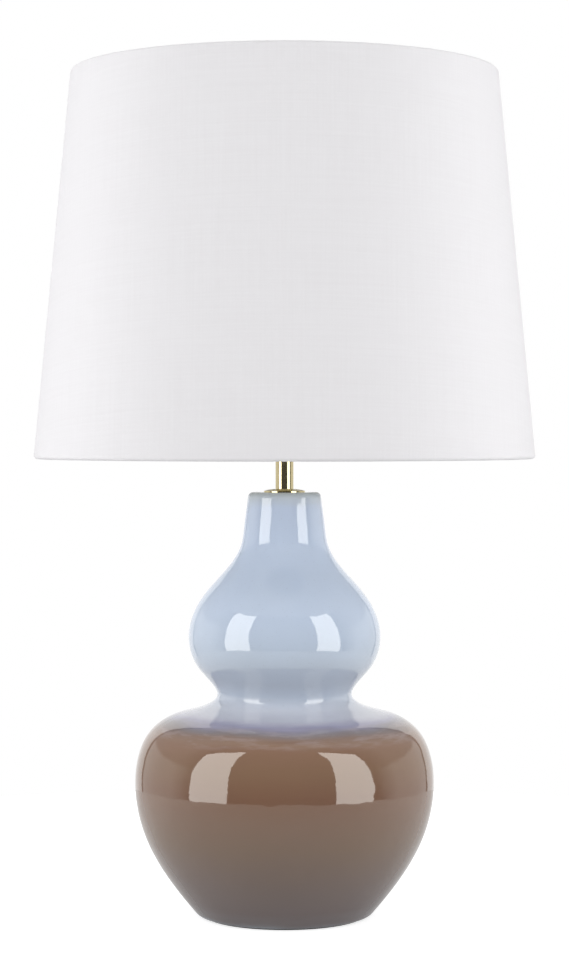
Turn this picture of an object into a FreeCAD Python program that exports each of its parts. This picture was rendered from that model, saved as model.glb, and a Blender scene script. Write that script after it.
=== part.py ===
import FreeCAD, Part
import math
import os

from FreeCAD import Vector

# Double gourd table lamp: a slip-cast ceramic body with a brass stem, a screw lampholder with
# its bulb, and a tapered drum shade on a three-armed ring. Millimetres, +Z up, z = 0 on the
# table, the lamp's axis on Z, the front at -Y and the cord hole and shade seam at +Y.

# ---------------------------------------------------------------- driving dimensions
# Clearances
FIT = 0.05                    # pieces of one body, pushed together
RUN = 0.3                     # round faces of pieces that turn or slide past each other
PAST = 1.0                    # how far a cutting shape reaches past the face that it cuts

# Ceramic body: heights are above its own underside
CERAMIC_HEIGHT = 295.2
CERAMIC_WALL = 6.0
FOOT_RADIUS = 60.6
FOOT_ROUNDING = 6.0
BELLY_RADIUS = 104.5
BELLY_HEIGHT = 87.0
WAIST_RADIUS = 47.1
WAIST_HEIGHT = 153.0
BULB_RADIUS = 67.1            # the upper, smaller bulb of the gourd
BULB_HEIGHT = 190.0
COLLAR_RADIUS = 28.0
COLLAR_HEIGHT = 274.0
NECK_RADIUS = 25.6
NECK_ROUNDING = 4.0
NECK_PLATE = 7.0              # clay left above the hollow, round the stem hole
NECK_HOLE_RADIUS = 10.0
RECESS_RADIUS = 48.0
RECESS_DEPTH = 17.0
FLOOR_THICKNESS = 6.0
FLOOR_HOLE_RADIUS = 8.0

# How the outline runs between those places: shares of the way in height and in radius
FOOT_TO_BELLY = [(0.149, 0.249), (0.333, 0.521), (0.621, 0.831)]
BELLY_TO_WAIST = [(0.364, 0.038), (0.606, 0.171), (0.758, 0.395), (0.879, 0.831)]
WAIST_TO_BULB = [(0.243, 0.220), (0.568, 0.725)]
BULB_TO_COLLAR = [(0.190, 0.043), (0.369, 0.233), (0.583, 0.624), (0.798, 0.928)]
COLLAR_TO_TOP = [(0.780, 0.875)]

# Foot ring of felt and the rubber sleeve that the cord leaves through
FELT_THICKNESS = 1.0
FELT_WIDTH = 7.0
FELT_INSET = 1.5              # from the flat's outer edge
SLEEVE_RADIUS = 5.0
SLEEVE_BORE_RADIUS = 3.6
SLEEVE_HEIGHT = 9.5           # its axis above the ceramic's underside
SLEEVE_FLANGE = 1.8
SLEEVE_FLANGE_THICKNESS = 1.6
SLEEVE_PROUD = 1.6

# Stem: hollow threaded rod, brass tube, cap and the stack under the floor
ROD_RADIUS = 5.0
ROD_BORE_RADIUS = 3.5
ROD_END = 2.0                 # past the nut
TUBE_RADIUS = 6.35
TUBE_WALL = 0.8
STEM_LENGTH = 29.6            # of the brass tube, from its cap to the lampholder
NECK_CAP_RADIUS = 14.5
NECK_CAP_THICKNESS = 2.2      # at the tube, where its dome is highest
NECK_CAP_EDGE = 0.8
BUSH_DEPTH = 9.0
BUSH_TAPER = 1.0
GASKET_RADIUS = 22.0
GASKET_THICKNESS = 1.5
WASHER_RADIUS = 25.0
WASHER_THICKNESS = 1.5
LOCK_WASHER_RADIUS = 8.5
LOCK_WASHER_THICKNESS = 1.2
LOCK_WASHER_GAP = 1.2
NUT_ACROSS_FLATS = 17.0
NUT_THICKNESS = 6.0
NUT_CHAMFER = 2.0

# Lampholder for a 27 mm screw cap
HOLDER_RADIUS = 19.7          # of the sleeve, over its thread
HOLDER_WALL = 2.0
HOLDER_CAP_HEIGHT = 22.0
HOLDER_BOSS_RADIUS = 9.0
HOLDER_BOSS_HEIGHT = 9.0
HOLDER_RIM_HEIGHT = 5.0       # straight edge of the cup, under the sleeve
SLEEVE_LENGTH = 34.0
FLANGE_RADIUS = 22.5
FLANGE_THICKNESS = 3.0
RING_RADIUS = 27.5            # the two threaded shade rings
RING_THICKNESS = 5.0
RING_RIB_COUNT = 24
RING_RIB_RADIUS = 0.9
INSULATOR_THICKNESS = 7.0
SHELL_WALL = 0.5
SHELL_LENGTH = 24.0
CONTACT_WIDTH = 5.0
CONTACT_STRIP = 0.6
CONTACT_RISE = 2.4
CONTACT_FOOT = 10.0           # from the axis back to the end that lies flat
CONTACT_BEND = 6.0            # from the axis back to where it starts to rise
CONTACT_LEVEL = 3.0           # level stretch beyond the axis, under the bulb
CONTACT_REACH = 5.0
CONTACT_CURL = 1.0            # drop of the tip
GRUB_SCREW_RADIUS = 2.0
GRUB_SCREW_HEIGHT = 2.75
TERMINAL_SPACING = 17.0
TERMINAL_HEAD_RADIUS = 2.8
TERMINAL_HEAD_HEIGHT = 2.2
TERMINAL_SHANK_RADIUS = 1.5
TERMINAL_SHANK_LENGTH = 4.0

# Bulb with a 27 mm screw cap
BULB_CAP_RADIUS = 13.1
BULB_CAP_LENGTH = 20.0
BULB_CAP_CHAMFER = 1.5
BULB_TIP_RADIUS = 4.8
BULB_TIP_BEVEL = 1.0
BULB_TIP_THICKNESS = 1.2
BULB_GLASS_HEIGHT = 3.8
BULB_LENGTH = 108.0
GLOBE_RADIUS = 30.0
GLOBE_WALL = 1.5
GLOBE_SEAT = 8.0              # the globe's lower edge, under its centre
BULB_NECK_RADIUS = 14.2
BULB_SWELL = 0.53             # share of the widening that is done half way up the housing

# Shade
SHADE_BOTTOM_RADIUS = 175.0
SHADE_TOP_RADIUS = 149.8
SHADE_HEIGHT = 270.6
SHADE_WIRE_RADIUS = 1.5
FABRIC_THICKNESS = 0.5
LINING_THICKNESS = 0.4
SHADE_LAYER_GAP = 0.3         # glue between fabric, lining and wires
HEM_WRAP = 172.0              # degrees that the fabric goes round each wire
LINING_MARGIN = 6.0           # from each wire's centre
SEAM_WIDTH = 12.0
SEAM_THICKNESS = 0.5
SEAM_MARGIN = 9.0
FITTER_RISE = 38.4            # from the bottom rim up to the underside of the ring
FITTER_RADIUS = 31.0
FITTER_THICKNESS = 1.6
ARM_COUNT = 3
ARM_FLAT = 14.0               # level run beside the fitter ring
ARM_FOOT = 20.0               # level run at the bottom ring
ARM_BEND_RADIUS = 14.0

# ---------------------------------------------------------------- heights that follow
CERAMIC_Z = FELT_THICKNESS
NECK_TOP_Z = CERAMIC_Z + CERAMIC_HEIGHT
FLOOR_Z = CERAMIC_Z + RECESS_DEPTH
STEM_Z = NECK_TOP_Z + NECK_CAP_THICKNESS
HOLDER_Z = STEM_Z + STEM_LENGTH
SLEEVE_Z = HOLDER_Z + HOLDER_CAP_HEIGHT
SLEEVE_TOP_Z = SLEEVE_Z + SLEEVE_LENGTH
LOWER_RING_Z = SLEEVE_Z + FLANGE_THICKNESS
FITTER_Z = LOWER_RING_Z + RING_THICKNESS
UPPER_RING_Z = FITTER_Z + FITTER_THICKNESS
INSULATOR_TOP_Z = SLEEVE_Z + INSULATOR_THICKNESS
CONTACT_TOP_Z = INSULATOR_TOP_Z + CONTACT_RISE
BULB_Z = CONTACT_TOP_Z + RUN
BULB_GLASS_Z = BULB_Z + BULB_TIP_THICKNESS
BULB_CAP_Z = BULB_GLASS_Z + BULB_GLASS_HEIGHT
BULB_HOUSING_Z = BULB_CAP_Z + BULB_CAP_LENGTH
GLOBE_CENTRE_Z = BULB_Z + BULB_LENGTH - GLOBE_RADIUS
GLOBE_SEAT_Z = GLOBE_CENTRE_Z - GLOBE_SEAT
SHADE_Z = FITTER_Z - FITTER_RISE
SHADE_TOP_Z = SHADE_Z + SHADE_HEIGHT
UP = Vector(0, 0, 1)
ORIGIN = Vector(0, 0, 0)


# ---------------------------------------------------------------- helpers
def at(radius, height):
    """A point of a section, in the XZ plane."""
    return Vector(radius, 0, height)


def turned(edges, angle=360):
    """The solid that a closed section makes when it is turned about Z."""
    face = Part.Face(Part.Wire(edges))
    return face.revolve(ORIGIN, UP, angle)


def turned_polygon(points):
    """A turned solid whose section has straight sides."""
    corners = [at(radius, height) for radius, height in points]
    wire = Part.makePolygon(corners + corners[:1])
    return turned(wire.Edges)


def ring(inner, outer, bottom, top):
    """A plain ring or washer."""
    return turned_polygon([(inner, bottom), (outer, bottom), (outer, top), (inner, top)])


def rod(radius, bottom, top, x=0, y=0):
    """A round bar along Z."""
    return Part.makeCylinder(radius, top - bottom, Vector(x, y, bottom), UP)


def circle_edges(solid, radius, height):
    """The round edges of a turned solid at one radius and height."""
    found = []
    for edge in solid.Edges:
        box = edge.BoundBox
        level = abs(box.ZMin - height) < 0.01 and abs(box.ZMax - height) < 0.01
        if level and abs(box.XMax - radius) < 0.01:
            found.append(edge)
    return found


def rounded(solid, amount, places):
    """Rounds the round edges at the given (radius, height) places."""
    edges = []
    for radius, height in places:
        edges += circle_edges(solid, radius, height)
    return solid.makeFillet(amount, edges)


def around(shape, angle):
    """A copy turned about the lamp's axis."""
    copy = shape.copy()
    copy.rotate(ORIGIN, UP, angle)
    return copy


# ---------------------------------------------------------------- ceramic body
def between(start, end, shares):
    """Points of the outline from start up to end, end left out."""
    points = [start]
    for rise, reach in shares:
        radius = start[0] + reach * (end[0] - start[0])
        height = start[1] + rise * (end[1] - start[1])
        points.append((radius, height))
    return points


def gourd_curve():
    """The outline of the double gourd, from its foot to its neck."""
    foot = (FOOT_RADIUS, 0)
    belly = (BELLY_RADIUS, BELLY_HEIGHT)
    waist = (WAIST_RADIUS, WAIST_HEIGHT)
    upper = (BULB_RADIUS, BULB_HEIGHT)
    collar = (COLLAR_RADIUS, COLLAR_HEIGHT)
    top = (NECK_RADIUS, CERAMIC_HEIGHT)
    points = between(foot, belly, FOOT_TO_BELLY)
    points += between(belly, waist, BELLY_TO_WAIST)
    points += between(waist, upper, WAIST_TO_BULB)
    points += between(upper, collar, BULB_TO_COLLAR)
    points += between(collar, top, COLLAR_TO_TOP)
    points.append(top)
    curve = Part.BSplineCurve()
    curve.interpolate([at(radius, height + CERAMIC_Z) for radius, height in points])
    return curve


def inside_curve(curve, depth, count=28):
    """The curve that lies a wall's thickness inside another, along its normal."""
    first, last = curve.FirstParameter, curve.LastParameter
    points = []
    for step in range(count + 1):
        place = first + (last - first) * step / count
        tangent = curve.tangent(place)[0]
        inward = Vector(-tangent.z, 0, tangent.x)
        points.append(curve.value(place) + inward * depth)
    inner = Part.BSplineCurve()
    inner.interpolate(points)
    return inner


def turned_under(curve):
    """The solid between a curve and the axis."""
    low = curve.value(curve.FirstParameter)
    high = curve.value(curve.LastParameter)
    axis_low = at(0, low.z)
    axis_high = at(0, high.z)
    sides = [Part.makeLine(axis_low, low), curve.toShape(), Part.makeLine(high, axis_high)]
    sides.append(Part.makeLine(axis_high, axis_low))
    return turned(sides)


def sleeve_axis_z():
    return CERAMIC_Z + SLEEVE_HEIGHT


def radius_at(curve, height):
    """The outline's radius at a height above the table."""
    level = Part.makeLine(at(0, height), at(2 * BELLY_RADIUS, height))
    return curve.toShape().distToShape(level)[1][0][0].x


def along_y(radius, start, end, height):
    """A round bar along +Y at a height above the table."""
    return Part.makeCylinder(radius, end - start, Vector(0, start, height), Vector(0, 1, 0))


def make_ceramic(curve):
    """Slip-cast shell: hollow bulbs, a raised floor, and holes for stem and cord."""
    outside = rounded(turned_under(curve), FOOT_ROUNDING, [(FOOT_RADIUS, CERAMIC_Z)])
    outside = rounded(outside, NECK_ROUNDING, [(NECK_RADIUS, NECK_TOP_Z)])
    hollow = turned_under(inside_curve(curve, CERAMIC_WALL))
    hollow_low = FLOOR_Z + FLOOR_THICKNESS
    hollow_high = NECK_TOP_Z - NECK_PLATE
    hollow = hollow.common(rod(BELLY_RADIUS, hollow_low, hollow_high))
    body = outside.cut(hollow)
    body = body.cut(rod(RECESS_RADIUS, 0, FLOOR_Z))
    body = body.cut(rod(FLOOR_HOLE_RADIUS, FLOOR_Z - PAST, hollow_low + PAST))
    body = body.cut(rod(NECK_HOLE_RADIUS, hollow_high - PAST, NECK_TOP_Z + PAST))
    hole = along_y(SLEEVE_RADIUS, 0.5 * RECESS_RADIUS, BELLY_RADIUS, sleeve_axis_z())
    return body.cut(hole)


def make_cord_grommet(curve):
    """Rubber sleeve in the foot: a flange inside, its outer end sloped with the glaze."""
    axis_z = sleeve_axis_z()
    radius = SLEEVE_RADIUS - FIT
    inner_wall = math.sqrt(RECESS_RADIUS ** 2 - (radius + SLEEVE_FLANGE) ** 2) - FIT
    start = inner_wall - SLEEVE_FLANGE_THICKNESS
    sleeve = along_y(radius, start, BELLY_RADIUS, axis_z)
    flange = along_y(radius + SLEEVE_FLANGE, start, inner_wall, axis_z)
    sleeve = sleeve.fuse(flange)
    low = radius_at(curve, axis_z - radius)
    high = radius_at(curve, axis_z + radius)
    slope = math.degrees(math.atan2(2 * radius, high - low))
    size = 4 * BELLY_RADIUS
    beyond = Part.makeBox(size, size, size, Vector(-size / 2, 0, -size / 2))
    beyond.rotate(ORIGIN, Vector(1, 0, 0), slope - 90)
    beyond.translate(Vector(0, (low + high) / 2 + SLEEVE_PROUD, axis_z))
    sleeve = sleeve.cut(beyond)
    return sleeve.cut(along_y(SLEEVE_BORE_RADIUS, 0, size, axis_z))


def foot_flat_radius(curve):
    """Where the foot's flat ends and its rounding begins."""
    rise = curve.tangent(curve.FirstParameter)[0]
    turn = math.atan2(rise.z, rise.x)
    return FOOT_RADIUS - FOOT_ROUNDING * math.tan(turn / 2)


def make_foot_felt(curve):
    outer = foot_flat_radius(curve) - FELT_INSET
    return ring(outer - FELT_WIDTH, outer, 0, FELT_THICKNESS)


# ---------------------------------------------------------------- stem
def hexagon(across_flats, bottom, top):
    """A hexagonal prism on the lamp's axis."""
    radius = across_flats / math.sqrt(3)
    corners = []
    for side in range(7):
        angle = math.radians(60 * side)
        corners.append(Vector(radius * math.cos(angle), radius * math.sin(angle), bottom))
    face = Part.Face(Part.makePolygon(corners))
    return face.extrude(Vector(0, 0, top - bottom))


def make_nut(low, high):
    """A hexagon nut with its lower corners turned off."""
    flat = NUT_ACROSS_FLATS / 2
    limit = turned_polygon([(0, low), (flat, low), (flat + NUT_CHAMFER, low + NUT_CHAMFER / 2),
                            (flat + NUT_CHAMFER, high), (0, high)])
    return hexagon(NUT_ACROSS_FLATS, low, high).common(limit).cut(rod(ROD_RADIUS + FIT, low, high))


def make_neck_cap():
    """A turned disc whose top is domed up to the tube."""
    bore = ROD_RADIUS + FIT
    rise = NECK_CAP_THICKNESS - NECK_CAP_EDGE
    run = NECK_CAP_RADIUS - TUBE_RADIUS
    dome = (run ** 2 + rise ** 2) / (2 * rise)
    half_drop = dome - math.sqrt(dome ** 2 - (run / 2) ** 2)
    rim_low = at(NECK_CAP_RADIUS, NECK_TOP_Z)
    rim_high = at(NECK_CAP_RADIUS, NECK_TOP_Z + NECK_CAP_EDGE)
    half_way = at(TUBE_RADIUS + run / 2, STEM_Z - half_drop)
    shoulder = at(TUBE_RADIUS, STEM_Z)
    return turned([Part.makeLine(at(bore, NECK_TOP_Z), rim_low), Part.makeLine(rim_low, rim_high),
                   Part.Arc(rim_high, half_way, shoulder).toShape(),
                   Part.makeLine(shoulder, at(bore, STEM_Z)),
                   Part.makeLine(at(bore, STEM_Z), at(bore, NECK_TOP_Z))])


def split_washer(inner, bottom, top):
    """A spring washer, cut through on one side."""
    washer = ring(inner, LOCK_WASHER_RADIUS, bottom, top)
    corner = Vector(-LOCK_WASHER_GAP / 2, 0, bottom)
    return washer.cut(Part.makeBox(LOCK_WASHER_GAP, LOCK_WASHER_RADIUS, top - bottom, corner))


def make_stem_parts():
    """The rod that clamps the lamp together, and what is threaded on it."""
    on_rod = ROD_RADIUS + FIT
    washer_top = FLOOR_Z - GASKET_THICKNESS
    lock_top = washer_top - WASHER_THICKNESS
    nut_top = lock_top - LOCK_WASHER_THICKNESS
    nut_low = nut_top - NUT_THICKNESS
    rod_top = HOLDER_Z + HOLDER_BOSS_HEIGHT
    bush_low = NECK_TOP_Z - BUSH_DEPTH
    bush_radius = NECK_HOLE_RADIUS - FIT
    bush = turned_polygon([(on_rod, bush_low), (bush_radius - BUSH_TAPER, bush_low),
                           (bush_radius, NECK_TOP_Z - NECK_PLATE), (bush_radius, NECK_TOP_Z),
                           (on_rod, NECK_TOP_Z)])
    return {
        "threaded_rod": ring(ROD_BORE_RADIUS, ROD_RADIUS, nut_low - ROD_END, rod_top),
        "base_gasket": ring(on_rod, GASKET_RADIUS, washer_top, FLOOR_Z),
        "base_washer": ring(on_rod, WASHER_RADIUS, lock_top, washer_top),
        "lock_washer": split_washer(on_rod, nut_top, lock_top),
        "base_nut": make_nut(nut_low, nut_top),
        "neck_bush": bush,
        "neck_cap": make_neck_cap(),
        "stem_tube": ring(TUBE_RADIUS - TUBE_WALL, TUBE_RADIUS, STEM_Z, HOLDER_Z),
    }


# ---------------------------------------------------------------- lampholder
def make_holder_cap():
    """The holder's lower half: a threaded boss that swells into a cup."""
    inner = HOLDER_RADIUS - HOLDER_WALL
    bore = ROD_RADIUS + FIT
    boss_top = HOLDER_Z + HOLDER_BOSS_HEIGHT
    rim_low = SLEEVE_Z - HOLDER_RIM_HEIGHT
    cup_low = boss_top + HOLDER_WALL / 2
    swell = Part.BSplineCurve()
    swell.interpolate([at(HOLDER_BOSS_RADIUS, HOLDER_Z + HOLDER_BOSS_HEIGHT / 2),
                       at((HOLDER_BOSS_RADIUS + HOLDER_RADIUS) / 2, boss_top + HOLDER_WALL / 2),
                       at(HOLDER_RADIUS, rim_low)])
    corners = [at(HOLDER_RADIUS, rim_low), at(HOLDER_RADIUS, SLEEVE_Z), at(inner, SLEEVE_Z),
               at(inner, rim_low + HOLDER_WALL), at(HOLDER_BOSS_RADIUS, cup_low), at(bore, cup_low),
               at(bore, HOLDER_Z), at(HOLDER_BOSS_RADIUS, HOLDER_Z),
               at(HOLDER_BOSS_RADIUS, HOLDER_Z + HOLDER_BOSS_HEIGHT / 2)]
    sides = [swell.toShape()]
    for start, end in zip(corners[:-1], corners[1:]):
        sides.append(Part.makeLine(start, end))
    return turned(sides).cut(grub_screw(GRUB_SCREW_RADIUS + FIT, HOLDER_BOSS_RADIUS + PAST))


def grub_screw(radius, reach):
    """A bar from the rod out to a reach, towards the back."""
    return along_y(radius, ROD_RADIUS + FIT, reach, HOLDER_Z + GRUB_SCREW_HEIGHT)


def terminals(radius, bottom, top):
    """Two bars, one for each terminal screw."""
    half = TERMINAL_SPACING / 2
    return [rod(radius, bottom, top, x=side * half) for side in (-1, 1)]


def make_shade_ring(bottom):
    """A threaded ring with finger ribs round its edge."""
    band = ring(HOLDER_RADIUS + RUN, RING_RADIUS - RING_RIB_RADIUS / 2, bottom, bottom + RING_THICKNESS)
    reach = RING_RADIUS - RING_RIB_RADIUS
    ribs = []
    for index in range(RING_RIB_COUNT):
        angle = 2 * math.pi * index / RING_RIB_COUNT
        ribs.append(rod(RING_RIB_RADIUS, bottom, bottom + RING_THICKNESS,
                        reach * math.cos(angle), reach * math.sin(angle)))
    return band.fuse(ribs).removeSplitter()


def make_centre_contact():
    """The spring tongue under the bulb: a strip that rises from the insulator."""
    low = INSULATOR_TOP_Z + CONTACT_STRIP
    high = CONTACT_TOP_Z
    top = [at(-CONTACT_FOOT, low), at(-CONTACT_BEND, low), at(0, high), at(CONTACT_LEVEL, high),
           at(CONTACT_REACH, high - CONTACT_CURL)]
    under = [Vector(point.x, 0, point.z - CONTACT_STRIP) for point in reversed(top)]
    outline = Part.makePolygon(top + under + top[:1])
    strip = Part.Face(outline).extrude(Vector(0, CONTACT_WIDTH, 0))
    strip.translate(Vector(0, -CONTACT_WIDTH / 2, 0))
    return strip


def make_holder_parts():
    inner = HOLDER_RADIUS - HOLDER_WALL
    sleeve = ring(inner, HOLDER_RADIUS, SLEEVE_Z, SLEEVE_TOP_Z)
    sleeve = sleeve.fuse(ring(inner, FLANGE_RADIUS, SLEEVE_Z, LOWER_RING_Z)).removeSplitter()
    shell_inner = BULB_CAP_RADIUS + RUN
    shell_outer = shell_inner + SHELL_WALL
    shell_top = INSULATOR_TOP_Z + SHELL_LENGTH
    shell = ring(shell_inner, shell_outer, INSULATOR_TOP_Z, shell_top)
    lip = ring(shell_inner, inner - FIT, INSULATOR_TOP_Z, INSULATOR_TOP_Z + SHELL_WALL)
    insulator = ring(ROD_BORE_RADIUS, inner - FIT, SLEEVE_Z, INSULATOR_TOP_Z)
    for hole in terminals(TERMINAL_SHANK_RADIUS + FIT, SLEEVE_Z, SLEEVE_Z + TERMINAL_SHANK_LENGTH + FIT):
        insulator = insulator.cut(hole)
    screws = []
    shanks = terminals(TERMINAL_SHANK_RADIUS, SLEEVE_Z, SLEEVE_Z + TERMINAL_SHANK_LENGTH)
    heads = terminals(TERMINAL_HEAD_RADIUS, SLEEVE_Z - TERMINAL_HEAD_HEIGHT, SLEEVE_Z)
    for shank, head in zip(shanks, heads):
        screws.append(shank.fuse(head).removeSplitter())
    return {
        "holder_cap": make_holder_cap(),
        "holder_grub_screw": grub_screw(GRUB_SCREW_RADIUS, HOLDER_BOSS_RADIUS),
        "terminal_screws": Part.makeCompound(screws),
        "holder_insulator": insulator,
        "centre_contact": make_centre_contact(),
        "screw_shell": shell.fuse(lip).removeSplitter(),
        "holder_sleeve": sleeve,
        "lower_shade_ring": make_shade_ring(LOWER_RING_Z),
        "upper_shade_ring": make_shade_ring(UPPER_RING_Z),
    }


# ---------------------------------------------------------------- bulb
def make_bulb_parts():
    centre = at(0, GLOBE_CENTRE_Z)
    seat_radius = math.sqrt(GLOBE_RADIUS ** 2 - GLOBE_SEAT ** 2)
    globe = Part.makeSphere(GLOBE_RADIUS, centre).cut(Part.makeSphere(GLOBE_RADIUS - GLOBE_WALL, centre))
    globe = globe.common(rod(2 * GLOBE_RADIUS, GLOBE_SEAT_Z, GLOBE_CENTRE_Z + 2 * GLOBE_RADIUS))
    side = Part.BSplineCurve()
    middle = (BULB_HOUSING_Z + GLOBE_SEAT_Z) / 2
    middle_radius = BULB_NECK_RADIUS + BULB_SWELL * (seat_radius - BULB_NECK_RADIUS)
    side.interpolate([at(BULB_NECK_RADIUS, BULB_HOUSING_Z), at(middle_radius, middle),
                      at(seat_radius, GLOBE_SEAT_Z)])
    housing = turned([side.toShape(), Part.makeLine(at(seat_radius, GLOBE_SEAT_Z), at(0, GLOBE_SEAT_Z)),
                      Part.makeLine(at(0, GLOBE_SEAT_Z), at(0, BULB_HOUSING_Z)),
                      Part.makeLine(at(0, BULB_HOUSING_Z), at(BULB_NECK_RADIUS, BULB_HOUSING_Z))])
    cap_end = BULB_CAP_RADIUS - BULB_CAP_CHAMFER
    glass = turned_polygon([(0, BULB_GLASS_Z), (BULB_TIP_RADIUS, BULB_GLASS_Z),
                            (cap_end, BULB_CAP_Z), (0, BULB_CAP_Z)])
    tip = turned_polygon([(0, BULB_Z), (BULB_TIP_RADIUS - BULB_TIP_BEVEL, BULB_Z),
                          (BULB_TIP_RADIUS, BULB_GLASS_Z), (0, BULB_GLASS_Z)])
    cap = turned_polygon([(0, BULB_CAP_Z), (cap_end, BULB_CAP_Z),
                          (BULB_CAP_RADIUS, BULB_CAP_Z + BULB_CAP_CHAMFER),
                          (BULB_CAP_RADIUS, BULB_HOUSING_Z), (0, BULB_HOUSING_Z)])
    return {
        "bulb_contact": tip,
        "bulb_glass_bead": glass,
        "bulb_cap": cap,
        "bulb_housing": housing,
        "bulb_globe": globe,
    }


# ---------------------------------------------------------------- shade
class Wall:
    """The line through the two wire centres, seen in section, with its directions."""

    def __init__(self):
        hem = SHADE_WIRE_RADIUS + SHADE_LAYER_GAP + FABRIC_THICKNESS
        self.hem = hem
        self.low = at(SHADE_BOTTOM_RADIUS - hem, SHADE_Z + hem)
        self.high = at(SHADE_TOP_RADIUS - hem, SHADE_TOP_Z - hem)
        self.along = (self.high - self.low).normalize()
        self.outward = Vector(self.along.z, 0, -self.along.x)
        self.length = (self.high - self.low).Length

    def point(self, rise, reach):
        """A point a distance up the wall and a distance out from the wires' line."""
        return self.low + self.along * rise + self.outward * reach

    def round_wire(self, centre, end, reach, degrees):
        """A point at a reach from a wire's centre, turned from outward towards the rim."""
        angle = math.radians(degrees)
        return centre + self.outward * (reach * math.cos(angle)) + end * (reach * math.sin(angle))

    def band(self, inner, outer, rise_low, rise_high):
        """The closed section of a strip of the wall."""
        corners = [self.point(rise_low, inner), self.point(rise_low, outer),
                   self.point(rise_high, outer), self.point(rise_high, inner)]
        return Part.makePolygon(corners + corners[:1]).Edges


def hem_edges(wall, centre, end, inner, outer):
    """The rolled hem: out round the wire on the fabric's outer face, back on its inner one."""
    outer_points = [wall.round_wire(centre, end, outer, part * HEM_WRAP) for part in (0, 0.5, 1)]
    inner_points = [wall.round_wire(centre, end, inner, part * HEM_WRAP) for part in (1, 0.5, 0)]
    return [Part.Arc(*outer_points).toShape(), Part.makeLine(outer_points[2], inner_points[0]),
            Part.Arc(*inner_points).toShape()]


def make_shade_skin(wall):
    """Fabric cone, rolled round a wire at each rim and lapped in a seam at the back."""
    inner = SHADE_WIRE_RADIUS + SHADE_LAYER_GAP
    outer = wall.hem
    edges = [Part.makeLine(wall.point(0, outer), wall.point(wall.length, outer))]
    edges += hem_edges(wall, wall.high, wall.along, inner, outer)
    edges.append(Part.makeLine(wall.point(wall.length, inner), wall.point(0, inner)))
    edges += [edge.copy() for edge in hem_edges(wall, wall.low, wall.along * -1, inner, outer)]
    skin = turned(Part.__sortEdges__(edges))
    overlap = FABRIC_THICKNESS / 4
    lap = wall.band(outer - overlap, outer + SEAM_THICKNESS, SEAM_MARGIN, wall.length - SEAM_MARGIN)
    mean_radius = (SHADE_BOTTOM_RADIUS + SHADE_TOP_RADIUS) / 2
    angle = math.degrees(SEAM_WIDTH / mean_radius)
    seam = around(turned(lap, angle), 90 - angle / 2)
    return skin.fuse(seam)


def make_arm(wall):
    """One wire arm, from the fitter ring out and down onto the bottom wire."""
    level = FITTER_Z + FITTER_THICKNESS / 2
    foot_level = wall.low.z + 2 * SHADE_WIRE_RADIUS + FIT
    corners = [at(FITTER_RADIUS + FIT, level), at(FITTER_RADIUS + ARM_FLAT, level),
               at(wall.low.x - ARM_FOOT, foot_level), at(wall.low.x, foot_level)]
    edges = []
    start = corners[0]
    for index in (1, 2):
        before = (corners[index] - corners[index - 1]).normalize()
        after = (corners[index + 1] - corners[index]).normalize()
        turn = before.getAngle(after)
        reach = ARM_BEND_RADIUS * math.tan(turn / 2)
        enter = corners[index] - before * reach
        leave = corners[index] + after * reach
        bisector = (after - before).normalize()
        centre = corners[index] + bisector * (ARM_BEND_RADIUS / math.cos(turn / 2))
        middle = centre - bisector * ARM_BEND_RADIUS
        edges += [Part.makeLine(start, enter), Part.Arc(enter, middle, leave).toShape()]
        start = leave
    edges.append(Part.makeLine(start, corners[-1]))
    section = Part.Wire(Part.Circle(corners[0], Vector(1, 0, 0), SHADE_WIRE_RADIUS).toShape())
    return Part.Wire(edges).makePipeShell([section], True, False)


def make_shade_parts():
    wall = Wall()
    lining_outer = SHADE_WIRE_RADIUS
    lining = wall.band(lining_outer - LINING_THICKNESS, lining_outer, LINING_MARGIN,
                       wall.length - LINING_MARGIN)
    arm = make_arm(wall)
    arms = [around(arm, 90 + 360 * index / ARM_COUNT) for index in range(ARM_COUNT)]
    fitter_bore = HOLDER_RADIUS + RUN
    return {
        "shade_skin": make_shade_skin(wall),
        "shade_lining": turned(lining),
        "shade_bottom_wire": Part.makeTorus(wall.low.x, SHADE_WIRE_RADIUS, at(0, wall.low.z)),
        "shade_top_wire": Part.makeTorus(wall.high.x, SHADE_WIRE_RADIUS, at(0, wall.high.z)),
        "shade_arms": Part.makeCompound(arms),
        "shade_fitter_ring": ring(fitter_bore, FITTER_RADIUS, FITTER_Z, UPPER_RING_Z),
    }


# ---------------------------------------------------------------- the lamp
def make_lamp():
    curve = gourd_curve()
    parts = {
        "ceramic_body": make_ceramic(curve),
        "cord_grommet": make_cord_grommet(curve),
        "foot_felt": make_foot_felt(curve),
    }
    parts.update(make_stem_parts())
    parts.update(make_holder_parts())
    parts.update(make_bulb_parts())
    parts.update(make_shade_parts())
    return parts


os.makedirs("parts", exist_ok=True)
for name, shape in make_lamp().items():
    assert shape.isValid(), name
    assert shape.Volume > 0, name
    print("%-20s solids %d volume %.1f" % (name, len(shape.Solids), shape.Volume))
    shape.exportStep(os.path.join("parts", name + ".step"))
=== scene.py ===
import math

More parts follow.
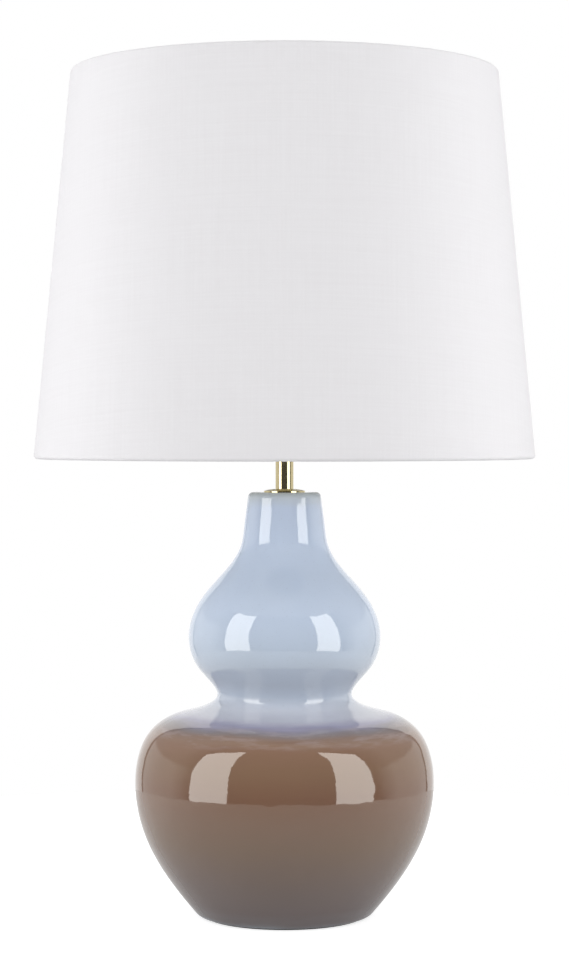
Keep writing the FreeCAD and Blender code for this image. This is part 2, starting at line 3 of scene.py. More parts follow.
import bpy
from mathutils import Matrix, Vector


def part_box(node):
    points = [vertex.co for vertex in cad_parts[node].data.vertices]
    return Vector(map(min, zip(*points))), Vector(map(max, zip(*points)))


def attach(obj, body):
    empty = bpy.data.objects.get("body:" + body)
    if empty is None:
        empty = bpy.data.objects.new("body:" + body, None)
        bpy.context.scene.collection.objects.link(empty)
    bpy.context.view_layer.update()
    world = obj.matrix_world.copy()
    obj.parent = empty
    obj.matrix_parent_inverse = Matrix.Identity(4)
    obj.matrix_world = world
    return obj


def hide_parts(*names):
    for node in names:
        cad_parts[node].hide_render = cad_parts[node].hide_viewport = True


# The looks of a double gourd table lamp. Metres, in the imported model's frame: +Z up, the lamp's
# axis on Z, the front at -Y and the back, with the shade's seam, at +Y.
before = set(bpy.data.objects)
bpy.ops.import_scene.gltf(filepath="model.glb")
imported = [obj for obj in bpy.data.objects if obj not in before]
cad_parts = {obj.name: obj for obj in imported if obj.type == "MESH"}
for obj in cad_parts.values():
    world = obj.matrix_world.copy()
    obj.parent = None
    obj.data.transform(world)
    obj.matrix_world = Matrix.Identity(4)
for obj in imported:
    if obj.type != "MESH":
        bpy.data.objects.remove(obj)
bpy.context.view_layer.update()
MM = 0.001
FULL_TURN = 2 * math.pi


# ---------------------------------------------------------------- small helpers
class Graph:
    """Adds nodes to a node tree; an input is a value or another node's output."""

    def __init__(self, tree):
        self.tree = tree
        tree.nodes.clear()

    def add(self, kind, inputs=None, **settings):
        node = self.tree.nodes.new("ShaderNode" + kind)
        for key, value in settings.items():
            setattr(node, key, value)
        for key, value in (inputs or {}).items():
            if isinstance(value, bpy.types.NodeSocket):
                self.tree.links.new(value, node.inputs[key])
            else:
                node.inputs[key].default_value = value
        return node

    def math(self, operation, *values):
        return self.add("Math", dict(enumerate(values)), operation=operation).outputs[0]

    def noise(self, vector, scale, detail=2.0, roughness=0.5):
        inputs = {"Vector": vector, "Scale": scale, "Detail": detail, "Roughness": roughness}
        return self.add("TexNoise", inputs).outputs["Fac"]

    def stretched(self, vector, scale):
        return self.add("Mapping", {"Vector": vector, "Scale": scale}).outputs[0]

    def between(self, value, low, high, to_low=0.0, to_high=1.0):
        """Turns the span from low to high into the one from to_low to to_high."""
        inputs = {0: value, 1: low, 2: high, 3: to_low, 4: to_high}
        return self.add("MapRange", inputs).outputs[0]

    def mix(self, factor, first, second, blend="MIX"):
        """Mixes two colours, which a Mix node takes in its sockets 6 and 7."""
        node = self.add("Mix", {0: factor, 6: first, 7: second}, data_type="RGBA", blend_type=blend)
        return node.outputs[2]

    def ramp(self, factor, stops):
        node = self.add("ValToRGB", {"Fac": factor})
        elements = node.color_ramp.elements
        while len(elements) < len(stops):
            elements.new(1.0)
        for element, (place, colour) in zip(elements, stops):
            element.position = place
            element.color = colour
        return node.outputs[0]

    def bump(self, height, distance):
        inputs = {"Height": height, "Distance": distance, "Strength": 1.0}
        return self.add("Bump", inputs).outputs[0]

    def seen_directly(self, path):
        """1 for rays from the camera, straight or through something clear."""
        return self.math("MAXIMUM", path.outputs["Is Camera Ray"], path.outputs["Is Transmission Ray"])

    def surface(self, shader, output="OutputMaterial"):
        self.tree.links.new(shader, self.add(output).inputs["Surface"])


def srgb(red, green, blue):
    """A colour given as 0 to 255 screen values, in the renderer's linear values."""
    linear = []
    for value in (red, green, blue):
        share = value / 255
        linear.append(share / 12.92 if share <= 0.04045 else ((share + 0.055) / 1.055) ** 2.4)
    return (*linear, 1.0)


def grey(value):
    return (value, value, value, 1.0)


def material(name):
    made = bpy.data.materials.new(name)
    made.use_nodes = True
    return made, Graph(made.node_tree)


def finish_principled(graph, inputs):
    graph.surface(graph.add("BsdfPrincipled", inputs).outputs[0])


def object_point(graph):
    return graph.add("TexCoord").outputs["Object"]


def half_width(node):
    """The radius of a round node, from its box."""
    low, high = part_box(node)
    return (high.x - low.x) / 2


def dress(node, made):
    """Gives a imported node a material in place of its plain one."""
    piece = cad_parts[node]
    if not piece.material_slots:
        piece.data.materials.append(made)
    for slot in piece.material_slots:
        slot.link = "OBJECT"
        slot.material = made


def mesh_piece(name, points, faces, made, body, uvs=None):
    """A smooth-shaded mesh object that rides on a body."""
    mesh = bpy.data.meshes.new(name)
    mesh.from_pydata(points, [], faces)
    mesh.materials.append(made)
    if uvs:
        layer = mesh.uv_layers.new(name="flat")
        for loop in mesh.loops:
            layer.data[loop.index].uv = uvs[loop.vertex_index]
    for polygon in mesh.polygons:
        polygon.use_smooth = True
    piece = bpy.data.objects.new(name, mesh)
    bpy.context.scene.collection.objects.link(piece)
    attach(piece, body)
    return piece


# ---------------------------------------------------------------- ceramic glaze
NECK_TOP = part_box("ceramic_body")[1].z

# Glaze colours up the body, with painted light in some stops: (height in mm above the table, screen colour)
GLAZE_AND_PAINTED_LIGHT = [
    # Lowest stops, paler and bluer at the foot: partly the glaze's own colour, partly painted reflection of
    # the table
    (1, (162, 168, 177)), (2.5, (130, 128, 133)), (5, (115, 106, 107)), (14, (108, 94, 92)),
    (30, (109, 93, 87)), (60, (114, 92, 76)), (95, (119, 89, 71)), (112, (125, 98, 78)),
    (122, (129, 101, 82)), (126.5, (133, 104, 86)), (130, (135, 109, 92)), (133.5, (130, 108, 97)),
    # The stops at 143 and 147 mm: a pale band on the shoulder, partly painted reflection of the blue waist
    (137, (122, 115, 118)), (140, (144, 141, 164)), (143, (184, 185, 197)), (147, (194, 198, 208)),
    (156, (176, 186, 200)), (165, (172, 181, 194)), (185, (178, 190, 205)), (215, (187, 200, 219)),
    # 250 and 285 mm: the glaze's pale blue, made lighter with painted light against the shade's shadow on
    #                 the neck. 296 mm: grey at the lip, partly worn glaze and partly painted reflection of
    #                 the shade's underside
    (250, (194, 208, 229)), (285, (196, 209, 230)), (296, (194, 201, 203)),
]
GLAZE_WANDER = 5 * MM         # how far the colours rise and fall round the body
GLAZE_STREAKS = 6 * MM        # the same for fine level streaks
GLAZE_ROUGHNESS = 0.045
GLAZE_IOR = 1.8
# Tints the glaze's reflections warm: painted warm light, since the softboxes themselves are white
GLAZE_TINT = (1.0, 0.985, 0.93, 1.0)
RIPPLE_HEIGHT = 0.25 * MM

# Paler runs in the brown, just under the violet break
RUNS_START = (125 * MM, 131 * MM)
RUNS_END = (137 * MM, 140 * MM)
RUNS_STRENGTH = 0.4


def shifted(graph, pattern, amount):
    """A pattern of 0 to 1 as a shift up or down that spans an amount."""
    return graph.math("MULTIPLY", graph.math("SUBTRACT", pattern, 0.5), amount)


def glaze():
    """Glossy reactive glaze: blue that runs through a violet break into brown, with painted reflection and
    painted light in some of its colours.
    """
    made, graph = material("glaze")
    point = object_point(graph)
    height = graph.add("SeparateXYZ", {0: point}).outputs[2]
    drift = graph.noise(graph.stretched(point, (1, 1, 0.4)), scale=14.0, detail=3.0)
    streak = graph.noise(graph.stretched(point, (1, 1, 8.0)), scale=20.0, detail=3.0)
    shift = graph.math("ADD", shifted(graph, drift, GLAZE_WANDER), shifted(graph, streak, GLAZE_STREAKS))
    share = graph.math("DIVIDE", graph.math("ADD", height, shift), NECK_TOP)
    stops = [(place * MM / NECK_TOP, srgb(*colour)) for place, colour in GLAZE_AND_PAINTED_LIGHT]
    body = graph.ramp(share, stops)
    starts = graph.between(height, *RUNS_START)
    ends = graph.between(height, *RUNS_END, to_low=1.0, to_high=0.0)
    under_break = graph.math("MULTIPLY", starts, ends)
    runs = graph.noise(graph.stretched(point, (1, 1, 7.0)), scale=34.0, detail=3.0, roughness=0.6)
    runs = graph.math("MULTIPLY", under_break, graph.between(runs, 0.48, 0.66, to_high=RUNS_STRENGTH))
    body = graph.mix(runs, body, srgb(164, 150, 150))
    cloud = graph.between(graph.noise(point, scale=22.0), 0.3, 0.7, to_high=0.08)
    body = graph.mix(cloud, body, srgb(150, 160, 205), "SOFT_LIGHT")
    speck = graph.between(graph.noise(point, scale=900.0, detail=1.0), 0.66, 0.78, to_high=0.12)
    body = graph.mix(speck, body, srgb(96, 82, 74))
    ripple = graph.bump(graph.noise(point, scale=45.0, detail=1.0), RIPPLE_HEIGHT)
    finish_principled(graph, {"Base Color": body, "Roughness": GLAZE_ROUGHNESS, "IOR": GLAZE_IOR,
                              "Specular Tint": GLAZE_TINT, "Normal": ripple})
    return made


# ---------------------------------------------------------------- metal, plastic and felt
TURNING_DEPTH = 0.002 * MM
GRAIN_DEPTH = 0.02 * MM
FELT_DEPTH = 0.4 * MM
PLASTIC_IOR = 1.46


def metal(name, colour, roughness):
    """Turned metal, with fine lines round the axis."""
    made, graph = material(name)
    point = object_point(graph)
    lines = graph.noise(graph.stretched(point, (1, 1, 40)), scale=260.0)
    rough = graph.between(lines, 0.2, 0.8, to_low=roughness * 0.75, to_high=roughness * 1.3)
    dulled = graph.between(lines, 0.3, 0.7, to_high=0.25)
    tone = graph.mix(dulled, colour, srgb(150, 130, 100), "SOFT_LIGHT")
    bump = graph.bump(lines, TURNING_DEPTH)
    finish_principled(graph, {"Base Color": tone, "Metallic": 1.0, "Roughness": rough, "Normal": bump})
    return made


def moulded(name, colour, roughness):
    """Moulded plastic, rubber or lacquer with a faint texture."""
    made, graph = material(name)
    point = object_point(graph)
    grain = graph.noise(point, scale=1400.0)
    patch = graph.noise(point, scale=60.0)
    tone = graph.mix(graph.between(patch, 0.3, 0.7, to_high=0.10), colour, grey(0.25), "SOFT_LIGHT")
    rough = graph.between(patch, 0.3, 0.7, to_low=roughness * 0.9, to_high=roughness * 1.1)
    bump = graph.bump(grain, GRAIN_DEPTH)
    finish_principled(graph, {"Base Color": tone, "Roughness": rough, "IOR": PLASTIC_IOR, "Normal": bump})
    return made


def felt():
    """Dark felt of the ring under the foot."""
    made, graph = material("felt")
    fibres = graph.noise(object_point(graph), scale=1800.0, detail=4.0, roughness=0.7)
    tone = graph.mix(fibres, srgb(60, 58, 60), srgb(96, 93, 94))
    bump = graph.bump(fibres, FELT_DEPTH)
    finish_principled(graph, {"Base Color": tone, "Roughness": 1.0, "Sheen Weight": 0.3, "Normal": bump})
    return made


def opal():
    """Opal plastic of the bulb's globe."""
    made, graph = material("opal_globe")
    patch = graph.noise(object_point(graph), scale=40.0)
    tone = graph.mix(patch, srgb(226, 225, 221), srgb(232, 231, 228))
    finish_principled(graph, {"Base Color": tone, "Roughness": 0.22, "IOR": 1.5,
                              "Subsurface Weight": 0.25, "Subsurface Scale": 4 * MM})
    return made


# ---------------------------------------------------------------- shade cloth and lining
WEAVE_PITCH = 0.55 * MM       # two threads of the shade's cloth, side by side
WEAVE_DEPTH = 0.06 * MM
CLOTH_COLOUR = srgb(235, 234, 236)
SLUB_COLOUR = srgb(214, 210, 212)
CLOTH_GLOW = 0.22             # share of the light that passes through the laminate
LINING_GLOW = 0.3
SLUB_ALONG, SLUB_ACROSS = 12, 700     # a slub's noise along its thread and across it


def woven_threads(graph, axes):
    """The height of a plain weave, from two sine waves at right angles."""
    turn = FULL_TURN / WEAVE_PITCH
    weft = graph.math("SINE", graph.math("MULTIPLY", axes.outputs[0], turn))
    warp = graph.math("SINE", graph.math("MULTIPLY", axes.outputs[1], turn))
    return graph.math("MULTIPLY", weft, warp)


def cloth_slubs(graph, flat):
    """Thick places along the threads, one noise for each direction, added up."""
    patterns = []
    for scale in ((SLUB_ALONG, SLUB_ACROSS, 1), (SLUB_ACROSS, SLUB_ALONG, 1)):
        patterns.append(graph.noise(graph.stretched(flat, scale), scale=1.0, detail=3.0, roughness=0.6))
    return graph.math("ADD", *patterns)


def layered(graph, glow, front, through):
    """A sheet that reflects most of the light and lets a share of it through."""
    graph.surface(graph.add("MixShader", {0: glow, 1: front, 2: through}).outputs[0])


def cloth():
    """Plain-woven off-white cloth on a white backing, with slubs along both threads."""
    made, graph = material("shade_cloth")
    flat = graph.add("UVMap", uv_map="flat").outputs[0]
    woven = woven_threads(graph, graph.add("SeparateXYZ", {0: flat}))
    slubs = cloth_slubs(graph, flat)
    height = graph.math("ADD", graph.math("MULTIPLY", woven, 0.5), graph.math("MULTIPLY", slubs, 2.0))
    tone = graph.mix(graph.between(slubs, 0.7, 1.3, to_high=0.14), CLOTH_COLOUR, SLUB_COLOUR)
    bump = graph.bump(height, WEAVE_DEPTH)
    front = graph.add("BsdfPrincipled", {"Base Color": tone, "Roughness": 0.85, "IOR": 1.4,
                                         "Sheen Weight": 0.15, "Normal": bump}).outputs[0]
    through = graph.add("BsdfTranslucent", {"Color": tone, "Normal": bump}).outputs[0]
    layered(graph, CLOTH_GLOW, front, through)
    return made


def lining():
    """Smooth white backing inside the shade."""
    made, graph = material("shade_backing")
    patch = graph.noise(object_point(graph), scale=30.0)
    tone = graph.mix(patch, srgb(240, 240, 238), srgb(246, 246, 244))
    front = graph.add("BsdfPrincipled", {"Base Color": tone, "Roughness": 0.35, "IOR": 1.5}).outputs[0]
    through = graph.add("BsdfTranslucent", {"Color": tone}).outputs[0]
    layered(graph, LINING_GLOW, front, through)
    return made


# ---------------------------------------------------------------- which node wears what
BRASS = metal("polished_brass", srgb(220, 207, 166), roughness=0.09)
STEEL = metal("plated_steel", srgb(190, 190, 192), roughness=0.30)
ALUMINIUM = metal("bulb_cap_metal", srgb(200, 200, 202), roughness=0.28)
NICKEL = metal("plated_contact", srgb(205, 200, 188), roughness=0.22)
RUBBER = moulded("black_rubber", srgb(30, 30, 31), roughness=0.65)
HOLDER = moulded("holder_white", srgb(232, 230, 224), roughness=0.25)
PORCELAIN = moulded("porcelain", srgb(232, 229, 222), roughness=0.45)
BEAD = moulded("black_bead", srgb(20, 20, 22), roughness=0.12)
BULB_BODY = moulded("bulb_white", srgb(222, 222, 220), roughness=0.30)
WIRE = moulded("wire_lacquer", srgb(235, 235, 233), roughness=0.35)
CLOTH = cloth()
LOOKS = {
    "ceramic_body": glaze(), "cord_grommet": RUBBER, "foot_felt": felt(), "threaded_rod": STEEL,
    "base_gasket": RUBBER, "base_washer": STEEL, "lock_washer": STEEL, "base_nut": STEEL,
    "neck_bush": RUBBER, "neck_cap": BRASS, "stem_tube": BRASS, "holder_cap": HOLDER,
    "holder_grub_screw": STEEL, "terminal_screws": BRASS, "holder_insulator": PORCELAIN,
    "centre_contact": BRASS, "screw_shell": NICKEL, "holder_sleeve": HOLDER,
    "lower_shade_ring": HOLDER, "upper_shade_ring": HOLDER, "bulb_contact": NICKEL,
    "bulb_glass_bead": BEAD, "bulb_cap": ALUMINIUM, "bulb_housing": BULB_BODY,
    "bulb_globe": opal(), "shade_skin": CLOTH, "shade_lining": lining(),
    "shade_bottom_wire": WIRE, "shade_top_wire": WIRE, "shade_arms": WIRE,
    "shade_fitter_ring": WIRE,
}
for node_name, look in LOOKS.items():
    dress(node_name, look)


# ---------------------------------------------------------------- the shade's sheet of cloth
CLOTH_THICKNESS = 0.5 * MM
HEM_TUCK = 7 * MM             # cloth folded in behind each wire
LAP = 12 * MM                 # the two ends overlap at the back
LAP_LIFT = 1.15 * CLOTH_THICKNESS     # the upper end lies this far outside the lower one
LAP_EASE = 0.03               # radians over which the upper end rises onto the lower one
BACK, FRONT = math.pi / 2, math.pi * 1.5     # directions round the axis
ROUND_STEPS = 288
WALL_STEPS = 30
ROLL_STEPS = 10


def wire_centre(node, wire):
    """Where a rim wire's centre lies in section: radius and height."""
    low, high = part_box(node)
    return Vector((half_width(node) - wire, (low.z + high.z) / 2))


def hem_roll(centre, outward, end, roll, angles):
    """Points round a rim wire, from angles measured from outward towards the rim's end."""
    points = []
    for angle in angles:
        points.append(centre + outward * (roll * math.cos(angle)) + end * (roll * math.sin(angle)))
    return points


def cloth_line():
    """The cloth's middle line in section, from tuck to tuck, and the centres of both wires."""
    wire_low, wire_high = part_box("shade_bottom_wire")
    wire = (wire_high.z - wire_low.z) / 2
    roll = half_width("shade_skin") - half_width("shade_bottom_wire") + wire - CLOTH_THICKNESS / 2
    low = wire_centre("shade_bottom_wire", wire)
    high = wire_centre("shade_top_wire", wire)
    along = (high - low).normalized()
    outward = Vector((along.y, -along.x))
    half_turn = [math.pi * step / ROLL_STEPS for step in range(ROLL_STEPS + 1)]
    line = [low + along * HEM_TUCK - outward * roll]
    line += hem_roll(low, outward, -along, roll, reversed(half_turn))
    for step in range(1, WALL_STEPS):
        line.append(low.lerp(high, step / WALL_STEPS) + outward * roll)
    line += hem_roll(high, outward, along, roll, half_turn)
    line.append(high - along * HEM_TUCK - outward * roll)
    return line, low, high


def grid_faces(columns, rows):
    """Four-sided faces of a sheet whose points are listed column by column."""
    faces = []
    for column in range(columns - 1):
        for row in range(rows - 1):
            corner = column * rows + row
            faces.append((corner, corner + rows, corner + rows + 1, corner + 1))
    return faces


def make_cloth():
    """One sheet wrapped round both wires and lapped at the back."""
    line, low, high = cloth_line()
    taper = (low.x - high.x) / (high - low).length
    apex = low.x / taper      # from the cone's point down the slope to the bottom wire
    lengths = [0.0]
    for start, end in zip(line[:-1], line[1:]):
        lengths.append(lengths[-1] + (end - start).length)
    wall_start = lengths[ROLL_STEPS + 1]
    lap_angle = LAP / low.x
    full = FULL_TURN + lap_angle
    points, uvs = [], []
    for step in range(ROUND_STEPS + 1):
        turned = full * step / ROUND_STEPS
        angle = BACK - lap_angle / 2 + turned
        over = min(1.0, max(0.0, (turned - (FULL_TURN - LAP_EASE)) / LAP_EASE))
        fold = (angle - FRONT) * taper
        for place, length in zip(line, lengths):
            radius = place.x + LAP_LIFT * over
            points.append((radius * math.cos(angle), radius * math.sin(angle), place.y))
            reach = apex - (length - wall_start)
            uvs.append((reach * math.sin(fold), reach * math.cos(fold)))
    faces = grid_faces(ROUND_STEPS + 1, len(line))
    piece = mesh_piece("shade_cloth", points, faces, CLOTH, "shade", uvs)
    layer = piece.modifiers.new("thickness", "SOLIDIFY")
    layer.thickness = CLOTH_THICKNESS
    layer.offset = 0.0
    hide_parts("shade_skin")

    # The flat cut is a fan; these give the length of the rectangle round it
    half_fold = full * taper / 2
    cut_inner = apex - (lengths[-1] - wall_start)
    cut_outer = apex + wall_start
    length = cut_outer - cut_inner * math.cos(half_fold)


make_cloth()


# ---------------------------------------------------------------- screw threads
THREAD_STEPS = 96             # points round the axis
ROWS_PER_TURN = 10
RUN_OUT = 0.8 * MM            # where a thread fades out at either end
CREST_FLATNESS = 1.4          # above 1, a thread's crests and roots are cut flat
CREASE_ANGLE = math.radians(50)
BULB_PITCH = 25.4 * MM / 7    # seven turns to the inch
BULB_THREAD_DEPTH = 1.0 * MM
BULB_CHAMFER = 1.5 * MM
BULB_PLAIN_BAND = 3.0 * MM    # smooth metal between the thread and the housing
LAMP_FIT = 0.3 * MM           # the bulb's cap runs this far from the shell round it
SHELL_WALL = 0.5 * MM
SHELL_THREAD_DEPTH = -0.9 * MM    # below zero: pressed outward
SLEEVE_PITCH = 2.5 * MM
SLEEVE_THREAD_DEPTH = 0.8 * MM
PUSH_FIT = 0.05 * MM          # the sleeve's bore runs this far from the shell's lip


def wall_rows(radius, start, end, pitch, depth):
    """A straight wall with a thread cut into it, as (radius, height, depth) rows."""
    count = round(abs(end - start) / pitch * ROWS_PER_TURN)
    low, high = min(start, end), max(start, end)
    rows = []
    for step in range(count + 1):
        height = start + (end - start) * step / count
        fade = min(1.0, (height - low) / RUN_OUT, (high - height) / RUN_OUT)
        rows.append((radius, height, depth * fade))
    return rows


def turned_thread(name, node, rows, pitch, made, body, closed):
    """Turns rows round the axis, each as deep as the thread there; closed joins last to first."""
    points, faces = [], []
    for radius, height, depth in rows:
        for step in range(THREAD_STEPS):
            angle = FULL_TURN * step / THREAD_STEPS
            wave = math.sin(FULL_TURN * height / pitch - angle)
            flattened = max(-1.0, min(1.0, wave * CREST_FLATNESS))
            reach = radius - depth * (0.5 - 0.5 * flattened)
            points.append((reach * math.cos(angle), reach * math.sin(angle), height))
    pairs = len(rows) if closed else len(rows) - 1
    for row in range(pairs):
        this, following = row * THREAD_STEPS, (row + 1) % len(rows) * THREAD_STEPS
        for step in range(THREAD_STEPS):
            beside = (step + 1) % THREAD_STEPS
            faces.append((this + step, this + beside, following + beside, following + step))
    if not closed:
        last = (len(rows) - 1) * THREAD_STEPS
        faces.append(tuple(reversed(range(THREAD_STEPS))))
        faces.append(tuple(range(last, last + THREAD_STEPS)))
    piece = mesh_piece(name, points, faces, made, body)
    creased = piece.modifiers.new("creases", "EDGE_SPLIT")
    creased.split_angle = CREASE_ANGLE
    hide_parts(node)


def make_bulb_cap():
    """The bulb's threaded cap, chamfered at its tip."""
    low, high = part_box("bulb_cap")
    radius = half_width("bulb_cap")
    rows = [(radius - BULB_CHAMFER, low.z, 0.0)]
    rows += wall_rows(radius, low.z + BULB_CHAMFER, high.z - BULB_PLAIN_BAND, BULB_PITCH, BULB_THREAD_DEPTH)
    rows.append((radius, high.z, 0.0))
    turned_thread("bulb_cap_threaded", "bulb_cap", rows, BULB_PITCH, ALUMINIUM, "bulb",
                  closed=False)


def make_screw_shell():
    """The thin shell that the bulb screws into, with the same thread pressed into both faces."""
    low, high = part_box("screw_shell")
    lip = half_width("screw_shell")
    inner = half_width("bulb_cap") + LAMP_FIT
    outer = inner + SHELL_WALL
    rise = low.z + SHELL_WALL
    rows = [(lip, low.z, 0.0), (lip, rise, 0.0), (outer, rise, 0.0)]
    rows += wall_rows(outer, rise + SHELL_WALL, high.z, BULB_PITCH, SHELL_THREAD_DEPTH)
    rows += wall_rows(inner, high.z, low.z, BULB_PITCH, SHELL_THREAD_DEPTH)
    turned_thread("screw_shell_threaded", "screw_shell", rows, BULB_PITCH, NICKEL, "base",
                  closed=True)


def make_holder_sleeve():
    """The lampholder's outer sleeve: a flange, and the thread that the shade rings run on."""
    low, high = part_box("holder_sleeve")
    flange, outer = half_width("holder_sleeve"), half_width("holder_cap")
    flange_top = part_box("lower_shade_ring")[0].z
    bore = half_width("screw_shell") + PUSH_FIT
    rows = [(flange, low.z, 0.0), (flange, flange_top, 0.0)]
    rows += wall_rows(outer, flange_top, high.z, SLEEVE_PITCH, SLEEVE_THREAD_DEPTH)
    rows += [(bore, high.z, 0.0), (bore, low.z, 0.0)]
    turned_thread("holder_sleeve_threaded", "holder_sleeve", rows, SLEEVE_PITCH, HOLDER,
                  "base", closed=True)


make_bulb_cap()
make_screw_shell()
make_holder_sleeve()


# ---------------------------------------------------------------- table
TABLE_RADIUS = 0.62
TABLE_STEPS = 128
TABLE_GREY = (0.54, 0.58)     # darkest and lightest of its faint mottle
TABLE_SEEN = 0.75             # glow added for the camera alone, so that it looks white
TABLE_MIRRORED = 0.35         # glow added for reflections, behind the lamp
TABLE_MIRROR_SPAN = (-0.35, 0.10)     # where that glow rises from none to full, front to back


def table_material():
    """Pale matt table with a glow that only the camera and reflections see."""
    made, graph = material("table_white")
    point = object_point(graph)
    darkest, lightest = TABLE_GREY
    mottle = graph.noise(point, scale=8.0, detail=3.0)
    mottle = graph.between(mottle, 0.3, 0.7, to_low=darkest, to_high=lightest)
    tone = graph.add("CombineColor", {0: mottle, 1: mottle, 2: mottle}).outputs[0]
    matt = graph.add("BsdfDiffuse", {"Color": tone}).outputs[0]
    path = graph.add("LightPath")
    depth = graph.add("SeparateXYZ", {0: point}).outputs[1]
    toward_back = graph.between(depth, *TABLE_MIRROR_SPAN, to_high=TABLE_MIRRORED)
    mirrored = graph.math("MULTIPLY", path.outputs["Is Glossy Ray"], toward_back)
    seen = graph.math("MULTIPLY", graph.seen_directly(path), TABLE_SEEN)
    strength = graph.math("ADD", seen, mirrored)
    glow = graph.add("Emission", {"Color": grey(1.0), "Strength": strength}).outputs[0]
    graph.surface(graph.add("AddShader", {0: matt, 1: glow}).outputs[0])
    return made


def make_table():
    points = [(0.0, 0.0, 0.0)]
    for step in range(TABLE_STEPS):
        angle = FULL_TURN * step / TABLE_STEPS
        points.append((TABLE_RADIUS * math.cos(angle), TABLE_RADIUS * math.sin(angle), 0.0))
    faces = [(0, 1 + step, 1 + (step + 1) % TABLE_STEPS) for step in range(TABLE_STEPS)]
    mesh = bpy.data.meshes.new("table_top")
    mesh.from_pydata(points, [], faces)
    mesh.materials.append(table_material())
    table = bpy.data.objects.new("table_top", mesh)
    bpy.context.scene.collection.objects.link(table)


# ---------------------------------------------------------------- studio light
# Brightness of the studio as it lights matt surfaces. Spans are in degrees: round from the
# camera's side, or above the horizon for the top.
MATT_FRONT, MATT_BACK, MATT_TOP = 0.46, 0.95, 1.15
MATT_TURNS = (108.0, 132.0)
MATT_TOP_STARTS = (50.0, 65.0)

# Brightness as glossy surfaces mirror it: dark in front, side walls that are brighter below,
# and a backdrop behind the lamp that narrows upward, with a darker gap beside it. The backdrop's
# sizes are shares of the distance behind the lamp.
GLOSS_FRONT, GLOSS_SIDE, GLOSS_HIGH_SIDE, GLOSS_GAP, GLOSS_BACK = 0.08, 0.82, 0.42, 0.22, 1.08
GLOSS_SIDE_STARTS = (74.0, 96.0)
GLOSS_SIDE_TOP = (15.0, 18.0)
BACKDROP_HALF_WIDTH, BACKDROP_TAPER, BACKDROP_GAP = 0.78, 0.44, 0.08
BACKDROP_BLUR, GAP_BLUR = 0.02, 0.04
LEAST_DEPTH = 0.01            # directions with less than this behind the lamp see no backdrop
OFF_BACKDROP = 10.0           # a spread that lies past the backdrop and its gap


def over_degrees(graph, value, span, low, high):
    """A change from low to high while an angle crosses a span given in degrees."""
    start, end = (math.radians(degrees) for degrees in span)
    return graph.between(value, start, end, low, high)


def matt_light(graph, turn, rise):
    walls = over_degrees(graph, turn, MATT_TURNS, MATT_FRONT, MATT_BACK)
    top = over_degrees(graph, rise, MATT_TOP_STARTS, 0.0, 1.0)
    return graph.mix(top, walls, grey(MATT_TOP))


def backdrop_spread(graph, axes):
    """How far to the side a direction points, for its depth, with the backdrop's taper added."""
    across, depth, up = axes.outputs
    lean = graph.math("MULTIPLY", graph.math("MAXIMUM", up, 0.0), BACKDROP_TAPER)
    across = graph.math("ADD", graph.math("ABSOLUTE", across), lean)
    spread = graph.math("DIVIDE", across, graph.math("MAXIMUM", depth, LEAST_DEPTH))
    camera_side = graph.math("LESS_THAN", depth, LEAST_DEPTH)
    return graph.math("ADD", spread, graph.math("MULTIPLY", camera_side, OFF_BACKDROP))


def mirrored_light(graph, axes, turn, rise):
    side = over_degrees(graph, rise, GLOSS_SIDE_TOP, GLOSS_SIDE, GLOSS_HIGH_SIDE)
    front = over_degrees(graph, turn, GLOSS_SIDE_STARTS, 1.0, 0.0)
    light = graph.mix(front, side, grey(GLOSS_FRONT))
    spread = backdrop_spread(graph, axes)
    edge = BACKDROP_HALF_WIDTH
    gap_end = edge + BACKDROP_GAP
    in_gap = graph.between(spread, gap_end, gap_end + GAP_BLUR, to_low=1.0, to_high=0.0)
    in_back = graph.between(spread, edge - BACKDROP_BLUR, edge, to_low=1.0, to_high=0.0)
    light = graph.mix(in_gap, light, grey(GLOSS_GAP))
    return graph.mix(in_back, light, grey(GLOSS_BACK))


def make_world():
    """The studio round the lamp; the camera itself sees plain white."""
    world = bpy.data.worlds.new("studio")
    bpy.context.scene.world = world
    world.use_nodes = True
    graph = Graph(world.node_tree)
    direction = graph.add("TexCoord").outputs["Generated"]
    axes = graph.add("SeparateXYZ", {0: direction})
    toward_camera = graph.math("MULTIPLY", axes.outputs[1], -1.0)
    turn = graph.math("ABSOLUTE", graph.math("ARCTAN2", axes.outputs[0], toward_camera))
    rise = graph.math("ARCSINE", axes.outputs[2])
    path = graph.add("LightPath")
    matt = matt_light(graph, turn, rise)
    mirrored = mirrored_light(graph, axes, turn, rise)
    colour = graph.mix(path.outputs["Is Glossy Ray"], matt, mirrored)
    colour = graph.mix(graph.seen_directly(path), colour, grey(1.0))
    graph.surface(graph.add("Background", {"Color": colour, "Strength": 1.0}).outputs[0], "OutputWorld")


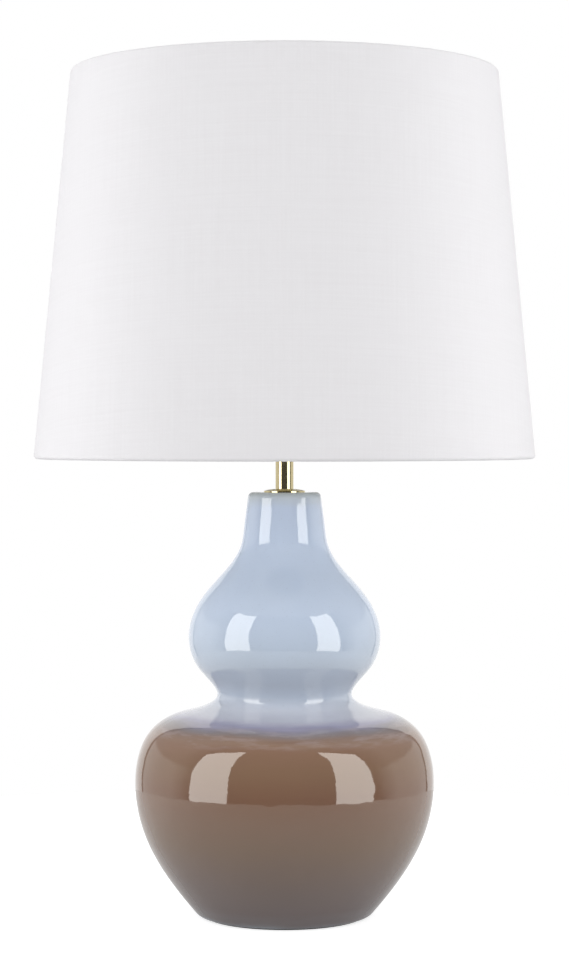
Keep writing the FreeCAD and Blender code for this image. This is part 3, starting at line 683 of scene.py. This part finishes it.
# Each softbox: name, its edge nearer the axis and its far edge, seen from above
SOFTBOXES = [
    ("softbox_left", (-0.632, -0.72), (-1.62, -0.45)),
    ("softbox_right", (0.578, -0.75), (1.47, -0.57)),
]
SOFTBOX_BOTTOM, SOFTBOX_TOP = -0.50, 1.42
SOFTBOX_GLOW = 3.4            # brightness of the face, where 1 is white


def make_softboxes():
    """Two upright softboxes between the camera and the lamp, one on each side."""
    for name, near, far in SOFTBOXES:
        near, far = Vector(near), Vector(far)
        along = far - near
        light = bpy.data.lights.new(name, "AREA")
        light.shape = "RECTANGLE"
        light.size = along.length
        light.size_y = SOFTBOX_TOP - SOFTBOX_BOTTOM
        light.energy = SOFTBOX_GLOW * math.pi * light.size * light.size_y
        middle = (near + far) / 2
        lamp = bpy.data.objects.new(name, light)
        lamp.location = (middle.x, middle.y, (SOFTBOX_TOP + SOFTBOX_BOTTOM) / 2)
        facing = Vector((-along.y, along.x, 0))
        if facing.y < 0:
            facing = -facing
        lamp.rotation_euler = facing.to_track_quat("-Z", "Y").to_euler()
        lamp.visible_camera = False
        bpy.context.scene.collection.objects.link(lamp)


# ---------------------------------------------------------------- camera
IMAGE_HEIGHT = 960            # pixels, the picture's longer side
FOCAL_PIXELS = 2522.0         # the lens's focal length, in the picture's pixels
HORIZON_PIXEL = 429.6         # row of the picture that lies at the camera's height
CAMERA_DISTANCE = 1.769
CAMERA_HEIGHT = 0.3399
SENSOR = 36.0                 # millimetres, along the picture's longer side


def make_camera():
    data = bpy.data.cameras.new("camera")
    data.sensor_width = SENSOR
    data.lens = FOCAL_PIXELS * SENSOR / IMAGE_HEIGHT
    data.shift_y = (HORIZON_PIXEL - IMAGE_HEIGHT / 2) / IMAGE_HEIGHT
    camera = bpy.data.objects.new("camera", data)
    camera.location = (0, -CAMERA_DISTANCE, CAMERA_HEIGHT)
    camera.rotation_euler = (math.pi / 2, 0, 0)
    bpy.context.scene.collection.objects.link(camera)
    bpy.context.scene.camera = camera


make_table()
make_world()
make_softboxes()
make_camera()
bpy.context.scene.view_settings.view_transform = "Standard"
